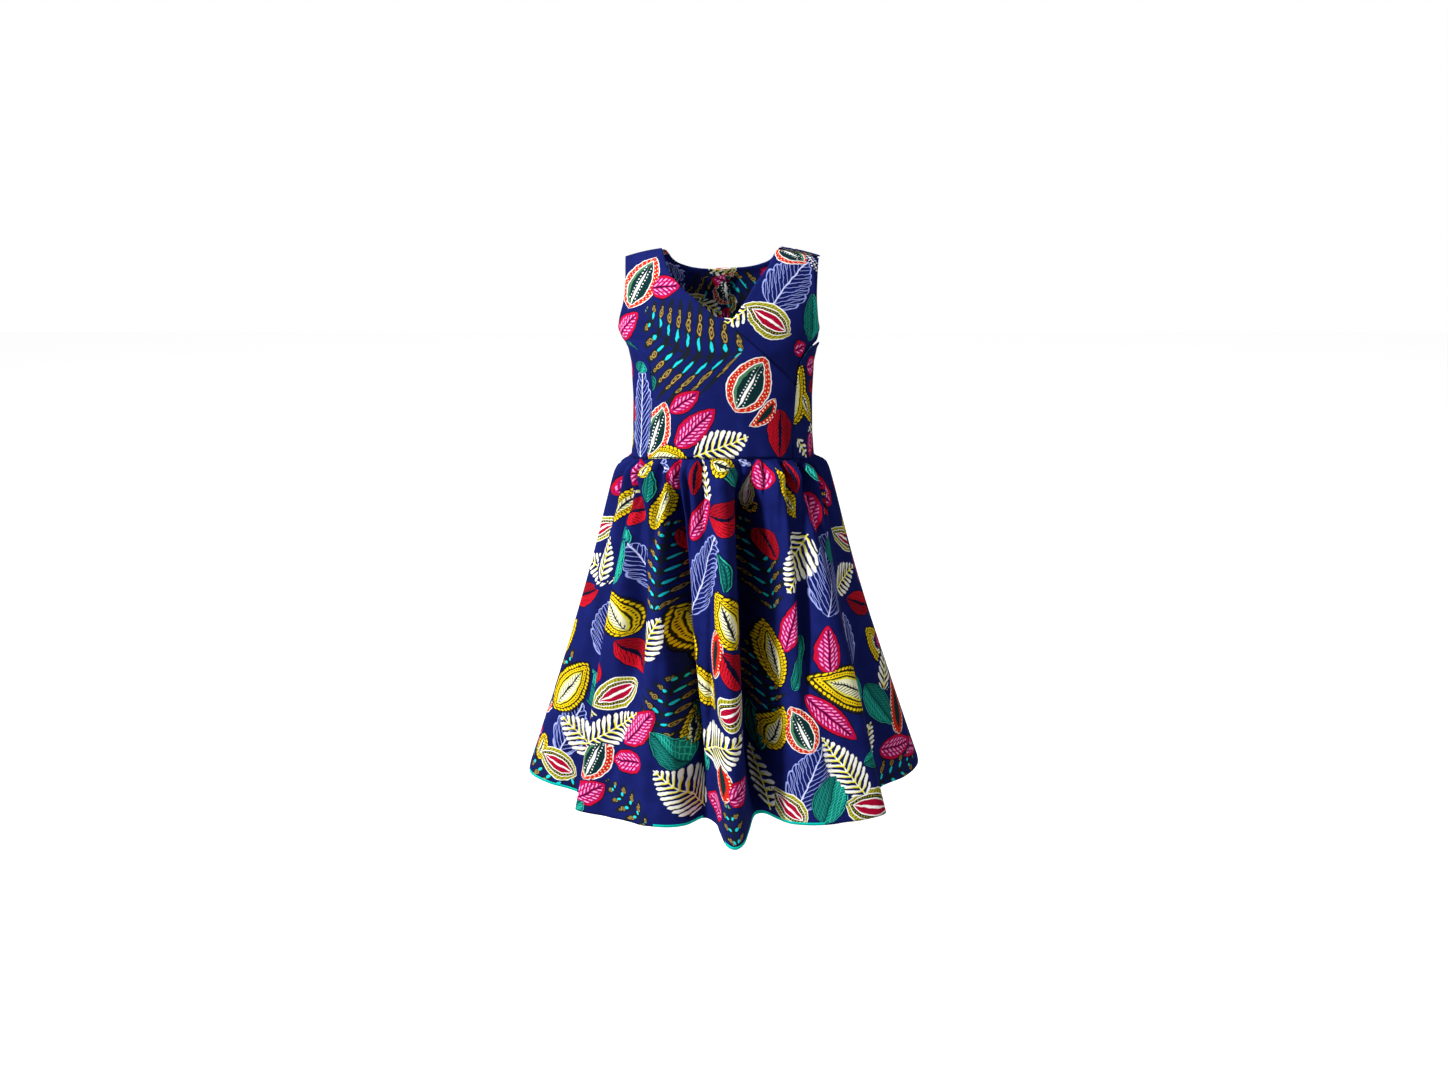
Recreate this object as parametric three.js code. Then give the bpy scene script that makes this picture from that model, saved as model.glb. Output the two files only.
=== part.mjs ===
// Child's sleeveless crossover dress in wax print cotton, as it hangs when worn.
// Millimetres, +Z up, front towards -Y, origin between the shoulders, centre front at X = 0.
import * as THREE from "three";

// ---- driving dimensions -------------------------------------------------------------------
const WALL = 1.6;            // cloth wall
const GAP = 0.3;             // clearance at every seam
const UNDER = 1.3;           // air between a lapped panel and the one beneath it
const BODICE = 260;          // cloth length from the shoulder top to the waist seam
const SKIRT = 418;           // cloth length from the waist seam to the hem
const SEAM_FORWARD = 8;      // the shoulder seam sits this far in front of the shoulder top
const SHOULDER_DROP = 11.5;  // slope of the shoulder at the arm
const SQUARE = 2.4;          // squareness of the body sections (2 is an ellipse)
const BACK_LAP = 8;          // half width of the lap at the centre back opening

// Body sections down the cloth: length down, half width, fall, depth in front, depth behind.
const BODY = [
  [0, 120, 0, 0, 0], [12, 120, 1.6, 11.9, 11.9], [24, 120, 6, 23, 22.9],
  [36, 120, 13.5, 32.3, 32], [50, 120, 25, 40.5, 40], [66, 120, 38.6, 48.7, 47.8],
  [84, 120, 54.8, 56.5, 54.6], [104, 119, 73.4, 63.8, 60.6], [118, 115, 86.8, 67.6, 63.5],
  [132, 107.5, 100.4, 70.8, 65.4], [150, 104, 118.1, 73.6, 66.8], [190, 102.5, 157.9, 77.8, 66.5],
  [230, 103.5, 197.8, 80.4, 65.5], [262, 106, 229.7, 83, 67.5],
];

// ---- small helpers ------------------------------------------------------------------------
const clamp = (v, lo, hi) => Math.min(hi, Math.max(lo, v));
const mix = (a, b, t) => a + (b - a) * t;
const smooth = (lo, hi, v) => { const t = clamp((v - lo) / (hi - lo), 0, 1); return t * t * (3 - 2 * t); };
const spow = (v, p) => Math.sign(v) * Math.abs(v) ** p;

function column(at, key, col) {          // one column of BODY, looked up by another
  let k = 1;
  while (k < BODY.length - 1 && BODY[k][key] < at) k++;
  const a = BODY[k - 1], b = BODY[k];
  return mix(a[col], b[col], clamp((at - a[key]) / (b[key] - a[key]), 0, 1));
}

function spline(points) {                // Catmull-Rom curve, evenly spaced by length
  const spans = points.length - 1, per = 24, list = [];
  const get = (i) => points[clamp(i, 0, spans)];
  for (let s = 0; s < spans; s++) {
    for (let q = 0; q < per; q++) {
      const t = q / per, [a, b, c, d] = [get(s - 1), get(s), get(s + 1), get(s + 2)];
      list.push(b.map((_, k) => 0.5 * (2 * b[k] + (c[k] - a[k]) * t
        + (2 * a[k] - 5 * b[k] + 4 * c[k] - d[k]) * t * t
        + (3 * b[k] - a[k] - 3 * c[k] + d[k]) * t ** 3)));
    }
  }
  list.push([...get(spans)]);
  const run = [0];
  for (let i = 1; i < list.length; i++) {
    run.push(run[i - 1] + Math.hypot(list[i][0] - list[i - 1][0], list[i][1] - list[i - 1][1]));
  }
  return (t) => {
    const want = clamp(t, 0, 1) * run[run.length - 1];
    let k = 1;
    while (k < run.length - 1 && run[k] < want) k++;
    const f = (want - run[k - 1]) / Math.max(1e-9, run[k] - run[k - 1]);
    return list[k].map((v, j) => mix(list[k - 1][j], v, f));
  };
}

// ---- the body surface ---------------------------------------------------------------------
// turn: 0 centre front, +-1 the sides, +-2 centre back; down: cloth length below the shoulder top,
// negative once it has gone over the top to the other side.
const shoulder = (x) => -SHOULDER_DROP * (Math.abs(x) / 107) ** 3;

function body(turn, down) {
  if (down < 0) return body(Math.sign(turn) * 2 - turn, -down);
  const half = column(down, 0, 1), angle = turn * Math.PI / 2;
  const depth = Math.cos(angle) > 0 ? -column(down, 0, 3) : column(down, 0, 4);
  const x = half * spow(Math.sin(angle), 2 / SQUARE);
  const y = depth * Math.abs(Math.cos(angle)) ** (2 / SQUARE);
  return new THREE.Vector3(x, y, shoulder(x) - column(down, 0, 2));
}

// A place on the front (or back) given by its x and z, as [turn, down].
function place([x, z], behind = false) {
  const down = column(shoulder(x) - z, 2, 0);
  const turn = Math.asin(clamp(Math.abs(x) / column(down, 0, 1), 0, 1) ** (SQUARE / 2)) / (Math.PI / 2);
  return [Math.sign(x) * (behind ? 2 - turn : turn), down];
}

// ---- one cloth wall from a grid of points -------------------------------------------------
// point(s, t) gives the place on the cloth; facing(s, t), when given, its outward normal.
function wall(name, nu, nv, point, { inner = 0, facing = null } = {}) {
  const grid = [], normals = [];
  for (let j = 0; j <= nv; j++) {
    for (let i = 0; i <= nu; i++) grid.push(point(i / nu, j / nv));
  }
  const at = (i, j) => grid[clamp(j, 0, nv) * (nu + 1) + clamp(i, 0, nu)];
  let outward = 0;
  for (let j = 0; j <= nv; j++) {
    for (let i = 0; i <= nu; i++) {
      const across = at(i + 1, j).clone().sub(at(i - 1, j));
      const along = at(i, j + 1).clone().sub(at(i, j - 1));
      const n = across.cross(along);
      if (j === 0 && !facing) n.z = 0;          // the gathered edge stands upright under the seam
      outward += n.x * at(i, j).x + n.y * at(i, j).y;
      normals.push(n.normalize());
    }
  }
  const side = outward > 0 ? 1 : -1, verts = [], index = [], total = grid.length;
  if (facing) {
    grid.forEach((_, k) => {
      normals[k] = facing((k % (nu + 1)) / nu, Math.floor(k / (nu + 1)) / nv).multiplyScalar(side);
    });
  }
  for (const reach of [inner + WALL, inner]) {
    grid.forEach((p, k) => verts.push(...p.clone().addScaledVector(normals[k], side * reach).toArray()));
  }
  const quad = (a, b, c, d) => (side > 0 ? index.push(a, b, c, a, c, d) : index.push(a, c, b, a, d, c));
  const id = (i, j, layer) => layer * total + j * (nu + 1) + i;
  for (let j = 0; j < nv; j++) {
    for (let i = 0; i < nu; i++) {
      quad(id(i, j, 0), id(i + 1, j, 0), id(i + 1, j + 1, 0), id(i, j + 1, 0));
      quad(id(i, j, 1), id(i, j + 1, 1), id(i + 1, j + 1, 1), id(i + 1, j, 1));
    }
    quad(id(0, j, 0), id(0, j + 1, 0), id(0, j + 1, 1), id(0, j, 1));
    quad(id(nu, j, 0), id(nu, j, 1), id(nu, j + 1, 1), id(nu, j + 1, 0));
  }
  for (let i = 0; i < nu; i++) {
    quad(id(i, 0, 0), id(i, 0, 1), id(i + 1, 0, 1), id(i + 1, 0, 0));
    quad(id(i, nv, 0), id(i + 1, nv, 0), id(i + 1, nv, 1), id(i, nv, 1));
  }
  const geometry = new THREE.BufferGeometry();
  geometry.setAttribute("position", new THREE.Float32BufferAttribute(verts, 3));
  geometry.setIndex(index);
  geometry.computeVertexNormals();
  const mesh = new THREE.Mesh(geometry, new THREE.MeshStandardMaterial({ color: 0x25399a, roughness: 0.8 }));
  mesh.name = name;
  return mesh;
}

// ---- bodice -------------------------------------------------------------------------------
// Edges of the panels as x, z on the front or the back; R is the wearer's right (X < 0).
const NECK_R = [[-68, -3.2], [-60.5, -24], [-46.7, -42], [-24.5, -60], [3, -80]];
const NECK_L = [[62.5, -2.5], [51, -19], [36, -38], [24.5, -57], [6, -79]];
const CROSS = [[30, -101], [58, -127], [81, -152]];
const CROSS_UNDER = [[-12, -73], [-34, -98], [-58, -127], [-78.5, -154], [-81, -190], [-83, -226]];
const ARM_R = [[-109, -13], [-108, -43], [-111, -64], [-116, -82], [-115, -96], [-108, -107]];
const ARM_L = [[109, -13], [107, -35], [106, -59], [108.5, -80], [109, -94], [107.4, -105]];
const SEAM_R = [[-108, -107], [-97, -111], [-84, -121], [-79, -134], [-79, -185], [-84, -226]];
const SEAM_L = [[107.4, -105], [97, -112], [87, -124], [82, -145], [80.5, -165], [77, -226]];
const ARM_BACK = [[109, -13], [101, -45], [97, -75], [99, -95], [96, -106]];
const SEAM_BACK = [[96, -106], [87, -118], [81, -136], [79, -185], [81, -226]];
const NECK_BACK = [[66, -3], [58, -14], [42, -23], [20, -27], [-BACK_LAP, -28]];
const LAP = [[-BACK_LAP, -28], [-BACK_LAP, -120], [-BACK_LAP, -226]];
const ARM_ROWS = 8, SEAM_ROWS = 12, CROSS_AT = 5;  // rows down the armhole and down the seams

// An edge as turn, down; way is 0 in front, 1 behind for the wearer's left, -1 for the right.
// Behind, an edge that crosses the centre goes on past a turn of 2.
const edge = (list, way = 0) => {
  const curve = list.map(([x, z]) => {
    const [turn, down] = place([way ? way * x : x, z], way !== 0);
    return [way && turn * way < 0 ? turn + 4 * way : turn, down];
  });
  if (list[list.length - 1][1] < -220) curve[curve.length - 1][1] = BODICE - GAP / 2;
  return curve;
};
// Edges that start on the shoulder seam: in front, or from behind and over the top.
const fromSeam = (list) => [[list[0][0], SEAM_FORWARD + GAP / 2], ...list.slice(1)];
const overTop = (list) => [[list[0][0], GAP / 2 - SEAM_FORWARD], [list[0][0], 0], ...list.slice(1)];
// One side of a panel: lengths of edge, each with its own number of rows.
function sides(...parts) {
  const curves = parts.map(([list, rows, from = 0]) => [spline(list), rows, from]);
  const rows = curves.reduce((sum, c) => sum + c[1], 0);
  return (t) => {
    let row = t * rows;
    for (const [curve, count, from] of curves) {
      if (row <= count + 1e-9) return curve(mix(from, 1, row / count));
      row -= count;
    }
    return curves[curves.length - 1][0](1);
  };
}
function panel(name, nu, nv, left, right, { dip = 0, inner = 0 } = {}) {
  // How far along the row an edge stands back, so that it is GAP / 2 from its seam square to it.
  const standBack = (edgeAt, t, across) => {
    const before = edgeAt(Math.max(0, t - 0.004)), after = edgeAt(Math.min(1, t + 0.004));
    const run = body(after[0], after[1]).sub(body(before[0], before[1])).normalize();
    return GAP / 2 / Math.max(0.3, run.cross(across).length());
  };
  const spot = (s, t) => {
    const p = left(t), q = right(t), sag = dip * Math.sin(Math.PI * s) ** 2 * (1 - t) ** 3;
    const across = body(q[0], q[1]).sub(body(p[0], p[1])), width = across.length();
    across.normalize();
    const f = mix(standBack(left, t, across) / width, 1 - standBack(right, t, across) / width, s);
    return [mix(p[0], q[0], f), mix(p[1], q[1], f) + sag];
  };
  const facing = (s, t) => {
    const [turn, down] = spot(s, t);
    const across = body(turn + 0.012, down).sub(body(turn - 0.012, down));
    return across.cross(body(turn, down + 3).sub(body(turn, down - 3))).normalize().negate();
  };
  return wall(name, nu, nv, (s, t) => body(...spot(s, t)), { inner, facing });
}

const beneath = { inner: -WALL - UNDER };
const rightFront = panel("bodice_front_right", 14, ARM_ROWS + SEAM_ROWS,
  sides([fromSeam(edge(ARM_R)), ARM_ROWS], [edge(SEAM_R), SEAM_ROWS]),
  sides([fromSeam(edge([...NECK_R, ...CROSS])), ARM_ROWS + CROSS_AT],
    [edge(SEAM_L), SEAM_ROWS - CROSS_AT, CROSS_AT / SEAM_ROWS]));
const leftFront = panel("bodice_front_left", 13, ARM_ROWS + SEAM_ROWS,
  sides([fromSeam(edge([...NECK_L, ...CROSS_UNDER])), ARM_ROWS + SEAM_ROWS]),
  sides([fromSeam(edge(ARM_L)), ARM_ROWS], [edge(SEAM_L), SEAM_ROWS]), beneath);
const sideRight = panel("bodice_side_right", 9, SEAM_ROWS,
  sides([edge(SEAM_BACK, -1), SEAM_ROWS]), sides([edge(SEAM_R), SEAM_ROWS]), { dip: 9 });
const sideLeft = panel("bodice_side_left", 9, SEAM_ROWS,
  sides([edge(SEAM_L), SEAM_ROWS]), sides([edge(SEAM_BACK, 1), SEAM_ROWS]), { dip: 9 });
const backEdge = (way) => sides([overTop(edge(ARM_BACK, way)), ARM_ROWS], [edge(SEAM_BACK, way), SEAM_ROWS]);
const lapEdge = (way) => sides([overTop(edge(NECK_BACK, way)), ARM_ROWS], [edge(LAP, way), SEAM_ROWS]);
const backLeft = panel("bodice_back_left", 10, ARM_ROWS + SEAM_ROWS, backEdge(1), lapEdge(1));
const backRight = panel("bodice_back_right", 10, ARM_ROWS + SEAM_ROWS, lapEdge(-1), backEdge(-1), beneath);

// ---- skirt --------------------------------------------------------------------------------
// The hem in plan, x, y and a fall of its own: wearer's right side round the front to the left
// side, then the back. Front corners, two deep troughs and the fold between them hang here.
const HEM_FRONT = [
  [-243, 2, 0], [-238, -34, 0], [-213, -54, 2], [-186, -60, 2], [-166, -72, 0], [-167, -98, 0],
  [-172, -122, 0], [-149, -131, 0], [-117, -142, 0], [-91, -158, 0], [-66, -165, 0], [-42, -157, 0],
  [-22, -138, 2], [-8, -146, -2], [-3, -166, -6], [4, -184, -16], [14, -190, -20], [24, -184, -15],
  [31, -162, -5], [38, -140, 0], [50, -134, 1], [62, -142, 2], [80, -155, 0], [110, -165, 0], [144, -164, 0],
  [165, -161, 0], [182, -155, 0], [188, -142, 0], [184, -110, 0], [181, -76, 0], [196, -50, 0],
  [226, -36, 0], [244, -14, 0], [248, 12, 0],
];
const HEM_BACK = [
  [248, 12, 0], [240, 48, 0], [212, 74, 0], [180, 84, 2], [158, 98, 2], [150, 124, 0],
  [118, 148, 0], [84, 150, 0], [62, 130, 2], [44, 128, 2], [26, 150, -4], [0, 162, -4],
  [-28, 152, 0], [-48, 130, 2], [-70, 130, 2], [-98, 150, 0], [-132, 146, 0], [-156, 122, 0],
  [-160, 96, 2], [-182, 80, 2], [-214, 72, 0], [-238, 42, 0], [-243, 2, 0],
];
// Gathers: count round half the waist, phase, depth, and how far down they fade.
const GATHERS = [[13, 0.4, 4, 80], [8.5, 2.1, 4.2, 130], [5.2, 1.1, 4.5, 210]];
// Troughs (-) and ridges (+): x at the waist and at the hem, half width, height, and the parts of
// the length between which they run, 0 at the waist and 1 at the hem.
const FOLDS_FRONT = [
  [-56, -30, 12, -50, 0.01, 1.02], [26, 47, 13, -60, 0, 1.08], [4, 14, 11, 11, 0.05, 0.95],
  [-92, -108, 10, -22, 0, 0.72], [86, 108, 10, -17, 0, 0.8], [58, 70, 8, -10, 0, 0.55],
];
const FOLDS_BACK = [
  [52, 54, 14, -26, 0.02, 1.05], [-50, -60, 13, -26, 0.02, 1.05], [0, 4, 14, 9, 0.1, 1.05],
  [-90, -110, 12, -10, 0, 0.7], [86, 104, 12, -10, 0, 0.7],
];
const FOLD_SPAN = 0.055;     // part of the hem over which a fold is told from the flare

function skirt(hemPoints, folds, behind) {
  const hem = spline(hemPoints);
  const flare = (u) => {     // the hem in plan with its folds smoothed away
    const span = Math.min(FOLD_SPAN, u, 1 - u), sum = [0, 0];
    for (let k = -4; k <= 4; k++) {
      const p = hem(u + (span * k) / 4);
      sum[0] += p[0] / 9;
      sum[1] += p[1] / 9;
    }
    return sum;
  };
  const form = (u, v) => {
    const turn = behind ? 1 + 2 * u : -1 + 2 * u;
    const top = body(turn > 2 ? turn - 4 : turn, BODICE);
    const [hx, hy, hz] = hem(u), [fx, fy] = flare(u);
    const folded = v ** 0.5, down = v * SKIRT;
    const n = new THREE.Vector3(top.x / 1.3, top.y, 0).normalize();
    const x = mix(top.x, fx, v) + (hx - fx) * folded;
    const y = mix(top.y, fy, v ** 0.8) + (hy - fy) * folded;
    let puff = (2 + 7 * Math.abs(n.y)) * smooth(0, 0.05, v) * (1 - smooth(0.25, 1, v));
    GATHERS.forEach(([count, phase, depth, fade]) => {
      const wave = Math.sin(count * 2 * Math.PI * u + phase + 0.9 * Math.sin(5 * u + phase));
      puff += depth * wave * smooth(0, 16, down) * Math.exp(-((down / fade) ** 2));
    });
    folds.forEach(([x0, x1, half, height, from, to]) => {
      const away = (x - mix(x0, x1, v ** 1.5)) / half;
      puff += height * Math.exp(-(Math.abs(away) ** 3)) * smooth(from, from + 0.16, v)
        * (1 - smooth(to - 0.3, to, v));
    });
    const fall = v * Math.sqrt(SKIRT ** 2 - Math.hypot(hx - top.x, hy - top.y) ** 2);
    return new THREE.Vector3(x + n.x * puff, y + n.y * puff, top.z - GAP / 2 - fall + hz * v * v);
  };
  return (s, t) => {         // rows lie closer near the gathers; side edges stand back half the gap
    const v = t ** 1.4, p = form(s, v);
    if (s > 0 && s < 1) return p;
    const inward = form(Math.abs(s - 0.004), v).sub(p).normalize();
    return p.addScaledVector(inward, GAP / 2);
  };
}
const skirtFront = wall("skirt_front", 60, 9, skirt(HEM_FRONT, FOLDS_FRONT, false));
const skirtBack = wall("skirt_back", 50, 9, skirt(HEM_BACK, FOLDS_BACK, true));

const group = new THREE.Group();
group.name = "wax_print_dress";
group.add(rightFront, leftFront, sideRight, sideLeft, backRight, backLeft, skirtFront, skirtBack);
export default group;
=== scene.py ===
"""Child's sleeveless crossover dress in wax print cotton, hanging as it is worn.

Each cut piece is a flat grid laid on the worn form and given its cloth thickness. The print is
drawn in the cloth's own flat measure: every leaf and pod is placed by its stem end and its tip as
they lie on the worn dress, and small shader groups draw one kind of motif each.
"""
import math

import bmesh
import bpy
import numpy as np
from mathutils import Matrix, Vector


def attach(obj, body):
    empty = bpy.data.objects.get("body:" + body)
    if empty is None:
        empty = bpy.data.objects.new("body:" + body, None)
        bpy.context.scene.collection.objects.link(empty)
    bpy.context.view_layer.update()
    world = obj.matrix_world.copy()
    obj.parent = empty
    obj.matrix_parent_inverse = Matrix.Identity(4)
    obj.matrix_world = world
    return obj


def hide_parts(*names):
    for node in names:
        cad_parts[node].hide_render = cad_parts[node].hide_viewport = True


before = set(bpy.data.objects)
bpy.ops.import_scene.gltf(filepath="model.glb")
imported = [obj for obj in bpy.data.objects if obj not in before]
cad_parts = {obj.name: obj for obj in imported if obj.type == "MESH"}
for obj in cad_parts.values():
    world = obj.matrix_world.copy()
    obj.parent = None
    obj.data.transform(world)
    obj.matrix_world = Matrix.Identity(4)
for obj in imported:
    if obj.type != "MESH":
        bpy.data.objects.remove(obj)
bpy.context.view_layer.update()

MM = 0.001

# ---- the cut, in millimetres, as the part's source has it ---------------------------------------
WALL, GAP, UNDER = 1.6, 0.3, 1.3
BODICE, SKIRT = 260.0, 418.0
SEAM_FORWARD, SHOULDER_DROP, SQUARE, BACK_LAP = 8.0, 11.5, 2.4, 8.0
CLOTH = 0.55                 # thickness shown
TUCK = 4.0                   # how far an under panel's seam edges run on beneath the outer panel
TUCK_SIDE, TUCK_WAIST = (0.39, 0.43), (0.95, 1)     # parts of its length where they set in
SKIRT_TOP = 0.52             # flat width of a skirt panel before gathering, metres
SKIRT_HEM = 0.76

# Body sections down the cloth: length down, half width, fall, depth in front, depth behind.
BODY = np.array([
    [0, 120, 0, 0, 0], [12, 120, 1.6, 11.9, 11.9], [24, 120, 6, 23, 22.9],
    [36, 120, 13.5, 32.3, 32], [50, 120, 25, 40.5, 40], [66, 120, 38.6, 48.7, 47.8],
    [84, 120, 54.8, 56.5, 54.6], [104, 119, 73.4, 63.8, 60.6], [118, 115, 86.8, 67.6, 63.5],
    [132, 107.5, 100.4, 70.8, 65.4], [150, 104, 118.1, 73.6, 66.8], [190, 102.5, 157.9, 77.8, 66.5],
    [230, 103.5, 197.8, 80.4, 65.5], [262, 106, 229.7, 83, 67.5]])


def mix(a, b, t):
    return a + (b - a) * t


def smooth(low, high, value):
    t = min(1.0, max(0.0, (value - low) / (high - low)))
    return t * t * (3 - 2 * t)


def column(at, key, col):
    return float(np.interp(at, BODY[:, key], BODY[:, col]))


def spline(points):
    """Catmull-Rom curve through the points, evenly spaced by length."""
    n, per, run = len(points), 24, []
    get = lambda i: np.array(points[min(n - 1, max(0, i))], float)
    for s in range(n - 1):
        a, b, c, d = get(s - 1), get(s), get(s + 1), get(s + 2)
        for q in range(per):
            t = q / per
            run.append(0.5 * (2 * b + (c - a) * t + (2 * a - 5 * b + 4 * c - d) * t * t
                              + (3 * b - a - 3 * c + d) * t ** 3))
    run.append(get(n - 1))
    run = np.array(run)
    steps = np.hypot(np.diff(run[:, 0]), np.diff(run[:, 1]))
    along = np.concatenate([[0], np.cumsum(steps)])
    return lambda t: [float(np.interp(t * along[-1], along, run[:, k])) for k in range(run.shape[1])]


def shoulder(x):
    return -SHOULDER_DROP * (abs(x) / 107) ** 3


def body(turn, down):
    """turn: 0 centre front, +-1 the sides, +-2 centre back. down: cloth length below the top."""
    if down < 0:
        return body(math.copysign(2, turn) - turn, -down)
    half, angle = column(down, 0, 1), turn * math.pi / 2
    depth = -column(down, 0, 3) if math.cos(angle) > 0 else column(down, 0, 4)
    x = half * math.copysign(abs(math.sin(angle)) ** (2 / SQUARE), math.sin(angle))
    y = depth * abs(math.cos(angle)) ** (2 / SQUARE)
    return Vector((x, y, shoulder(x) - column(down, 0, 2)))


def body_normal(turn, down):
    across = body(turn + 0.012, down) - body(turn - 0.012, down)
    along = body(turn, down + 3) - body(turn, down - 3)
    return -across.cross(along).normalized()


def place(x, z, behind=False):
    down = column(shoulder(x) - z, 2, 0)
    ratio = min(1.0, abs(x) / column(down, 0, 1))
    turn = math.asin(ratio ** (SQUARE / 2)) / (math.pi / 2)
    return [math.copysign(2 - turn if behind else turn, x), down]


# ---- panels of the bodice: edges as x, z on the front or the back (R is the wearer's right) -------
NECK_R = [[-68, -3.2], [-60.5, -24], [-46.7, -42], [-24.5, -60], [3, -80]]
NECK_L = [[62.5, -2.5], [51, -19], [36, -38], [24.5, -57], [6, -79]]
CROSS = [[30, -101], [58, -127], [81, -152]]
CROSS_UNDER = [[-12, -73], [-34, -98], [-58, -127], [-78.5, -154], [-81, -190], [-83, -226]]
ARM_R = [[-109, -13], [-108, -43], [-111, -64], [-116, -82], [-115, -96], [-108, -107]]
ARM_L = [[109, -13], [107, -35], [106, -59], [108.5, -80], [109, -94], [107.4, -105]]
SEAM_R = [[-108, -107], [-97, -111], [-84, -121], [-79, -134], [-79, -185], [-84, -226]]
SEAM_L = [[107.4, -105], [97, -112], [87, -124], [82, -145], [80.5, -165], [77, -226]]
ARM_BACK = [[109, -13], [101, -45], [97, -75], [99, -95], [96, -106]]
SEAM_BACK = [[96, -106], [87, -118], [81, -136], [79, -185], [81, -226]]
NECK_BACK = [[66, -3], [58, -14], [42, -23], [20, -27], [-BACK_LAP, -28]]
LAP = [[-BACK_LAP, -28], [-BACK_LAP, -120], [-BACK_LAP, -226]]
ARM_ROWS, SEAM_ROWS, CROSS_AT = 8, 12, 5


def edge(points, way=0):
    """An edge as turn, down; way is 0 in front, 1 behind on the wearer's left, -1 on the right."""
    run = []
    for x, z in points:
        turn, down = place(way * x if way else x, z, bool(way))
        run.append([turn + 4 * way if way and turn * way < 0 else turn, down])
    if points[-1][1] < -220:
        run[-1][1] = BODICE - GAP / 2
    return run


def from_seam(run, tuck=0.0):
    return [[run[0][0], SEAM_FORWARD + GAP / 2 - tuck]] + run[1:]


def over_top(run, tuck=0.0):
    return [[run[0][0], GAP / 2 - SEAM_FORWARD - tuck], [run[0][0], 0]] + run[1:]


def sides(*parts):
    """One side of a panel: lengths of edge, each with its own number of rows."""
    curves = [(spline(p[0]), p[1], p[2] if len(p) > 2 else 0) for p in parts]
    rows = sum(c[1] for c in curves)

    def at(t):
        row = t * rows
        for curve, count, start in curves:
            if row <= count + 1e-9:
                return curve(mix(start, 1, row / count))
            row -= count
        return curves[-1][0](1)
    return at


def back_edge(way):
    top = over_top(edge(ARM_BACK, way), TUCK * (way < 0))
    return sides([top, ARM_ROWS], [edge(SEAM_BACK, way), SEAM_ROWS])


def lap_edge(way):
    top = over_top(edge(NECK_BACK, way), TUCK * (way < 0))
    return sides([top, ARM_ROWS], [edge(LAP, way), SEAM_ROWS])


ARC_STEP = 8                 # length down from one measured ring of the body to the next
ARC = {}                     # those rings, by number: turns, and lengths round


def flat_across(turn, down):
    """Cloth length round the body from centre front to this turn, in millimetres."""
    row = int(abs(down) // ARC_STEP)
    if row not in ARC:
        turns = np.linspace(0, 2.2, 111)
        ring = np.array([body(t, (row + 0.5) * ARC_STEP) for t in turns])
        steps = np.linalg.norm(np.diff(ring[:, :2], axis=0), axis=1)
        ARC[row] = turns, np.concatenate([[0], np.cumsum(steps)])
    near = np.interp(abs(turn), *ARC[row])
    return math.copysign(near, turn)


# ---- skirt: the hem in plan, x, y and a fall of its own -----------------------------------------
HEM_FRONT = [
    [-243, 2, 0], [-238, -34, 0], [-213, -54, 2], [-186, -60, 2], [-166, -72, 0], [-167, -98, 0],
    [-172, -122, 0], [-149, -131, 0], [-117, -142, 0], [-91, -158, 0], [-66, -165, 0], [-42, -157, 0],
    [-22, -138, 2], [-8, -146, -2], [-3, -166, -6], [4, -184, -16], [14, -190, -20], [24, -184, -15],
    [31, -162, -5], [38, -140, 0], [50, -134, 1], [62, -142, 2], [80, -155, 0], [110, -165, 0],
    [144, -164, 0], [165, -161, 0], [182, -155, 0], [188, -142, 0], [184, -110, 0], [181, -76, 0],
    [196, -50, 0], [226, -36, 0], [244, -14, 0], [248, 12, 0]]
HEM_BACK = [
    [248, 12, 0], [240, 48, 0], [212, 74, 0], [180, 84, 2], [158, 98, 2], [150, 124, 0],
    [118, 148, 0], [84, 150, 0], [62, 130, 2], [44, 128, 2], [26, 150, -4], [0, 162, -4],
    [-28, 152, 0], [-48, 130, 2], [-70, 130, 2], [-98, 150, 0], [-132, 146, 0], [-156, 122, 0],
    [-160, 96, 2], [-182, 80, 2], [-214, 72, 0], [-238, 42, 0], [-243, 2, 0]]
# Gathers: count round half the waist, phase, depth, and how far down they fade.
GATHERS = [[13, 0.4, 4, 80], [8.5, 2.1, 4.2, 130], [5.2, 1.1, 4.5, 210]]
FINE_GATHERS = [[13, 0.4, 5.5, 125], [29, 1.3, 3.0, 60], [19, 0.2, 3.0, 80]]
# Troughs (-) and ridges (+): x at the waist and at the hem, half width, height, and the parts of
# the length between which they run, 0 at the waist and 1 at the hem.
FOLDS_FRONT = [
    [-56, -30, 12, -50, 0.01, 1.02], [26, 47, 13, -60, 0, 1.08], [4, 14, 11, 11, 0.05, 0.95],
    [-92, -108, 10, -22, 0, 0.72], [86, 108, 10, -17, 0, 0.8], [58, 70, 8, -10, 0, 0.55]]
FOLDS_BACK = [
    [52, 54, 14, -26, 0.02, 1.05], [-50, -60, 13, -26, 0.02, 1.05], [0, 4, 14, 9, 0.1, 1.05],
    [-90, -110, 12, -10, 0, 0.7], [86, 104, 12, -10, 0, 0.7]]
FINE_FOLDS = [      # small creases between them, on the cloth's face only
    [-35, -32, 4, -9, 0, 0.5], [-10, -14, 4, -10, 0.1, 0.9], [-76, -84, 5, -6, 0, 0.4],
    [42, 52, 6, -5, 0, 0.4], [72, 84, 5, -4, 0, 0.45], [99, 126, 6, -4, 0.1, 0.75],
    [-66, -92, 7, 4, 0.3, 1.1], [74, 140, 9, -4, 0.3, 1.1], [-84, -140, 8, -5, 0.35, 1.1]]
FOLD_SPAN = 0.055            # part of the hem over which a fold is told from the flare


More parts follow.
